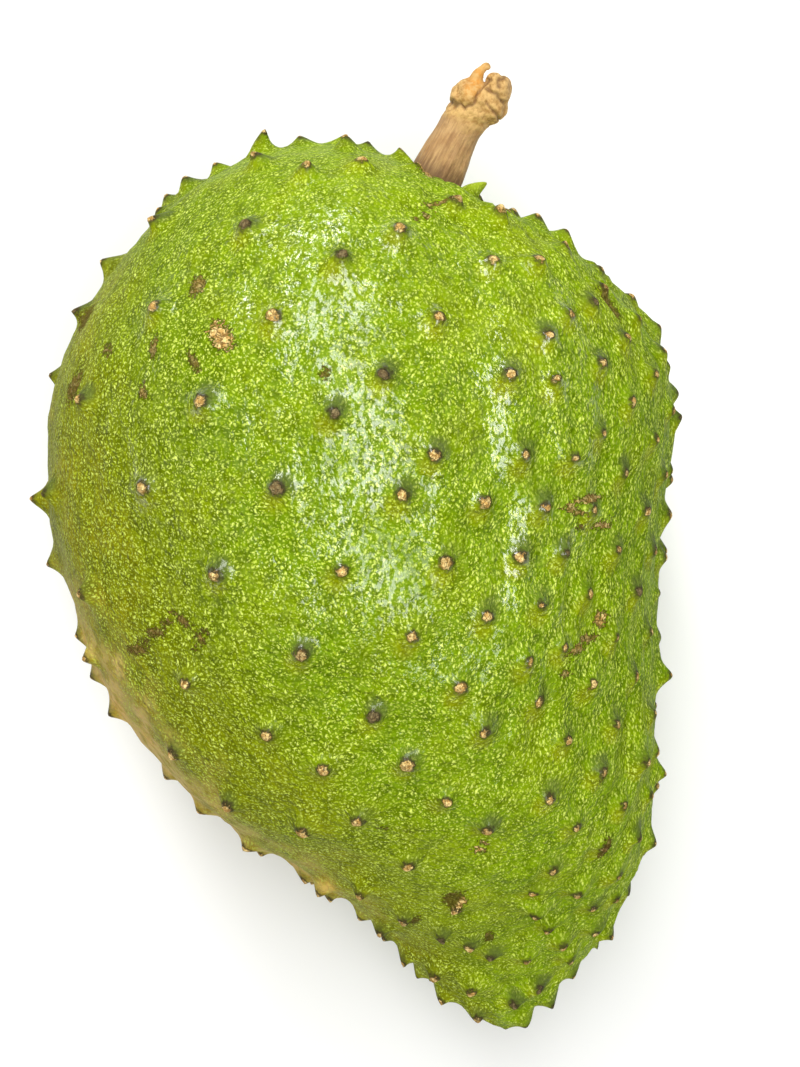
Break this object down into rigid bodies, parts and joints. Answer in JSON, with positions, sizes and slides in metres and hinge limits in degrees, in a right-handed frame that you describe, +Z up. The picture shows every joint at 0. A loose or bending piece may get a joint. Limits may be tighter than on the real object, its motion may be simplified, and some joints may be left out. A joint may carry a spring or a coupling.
{
  "type": "soursop",
  "caption": "Whole soursop lying on its back: lopsided heart-shaped green fruit with short curved spines and a knobby woody stem.",
  "frame": {"origin": "centre of the small flat spot that the fruit rests on", "axes": "+Z up out of the resting surface, +Y along the fruit's long way towards the stem, +X across the fruit"},
  "size_m": [0.1422, 0.2189, 0.1319],
  "materials": {
    "rind": "waxy yellow-green fruit rind with pale raised flecks, corky tan spine tips and brown scars",
    "stem_wood": "dry brown woody stalk with lengthwise fibres and a broken golden-tan knob"
  },
  "bodies": {
    "root": {"fruit": "rind", "stem": "stem_wood"}
  },
  "joints": []
}
